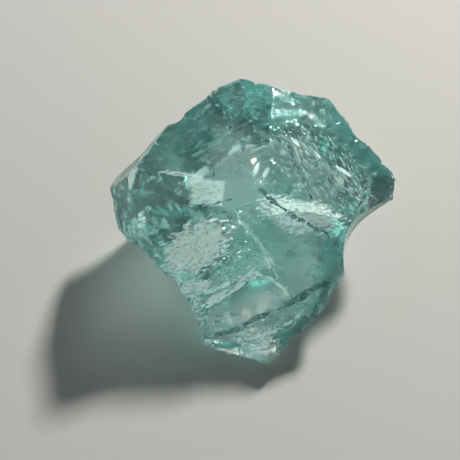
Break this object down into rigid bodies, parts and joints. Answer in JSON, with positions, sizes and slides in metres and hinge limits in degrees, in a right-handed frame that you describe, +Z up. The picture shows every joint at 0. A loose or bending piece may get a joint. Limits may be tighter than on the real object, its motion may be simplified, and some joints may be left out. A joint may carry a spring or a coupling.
{
  "type": "rough glass lump",
  "caption": "Rough lump of clear sea-green glass, chipped all round into flat, hollow and rippled faces, lying on its flat underside.",
  "frame": {"origin": "middle of the lump's width and depth, on the flat underside it rests on", "axes": "+X to the right along the lump's width, +Y to the back, +Z up"},
  "size_m": [0.0508, 0.0482, 0.0192],
  "materials": {
    "glass": "clear sea-green glass, polished by fracture"
  },
  "bodies": {
    "root": {"crystal": "glass"}
  },
  "joints": []
}
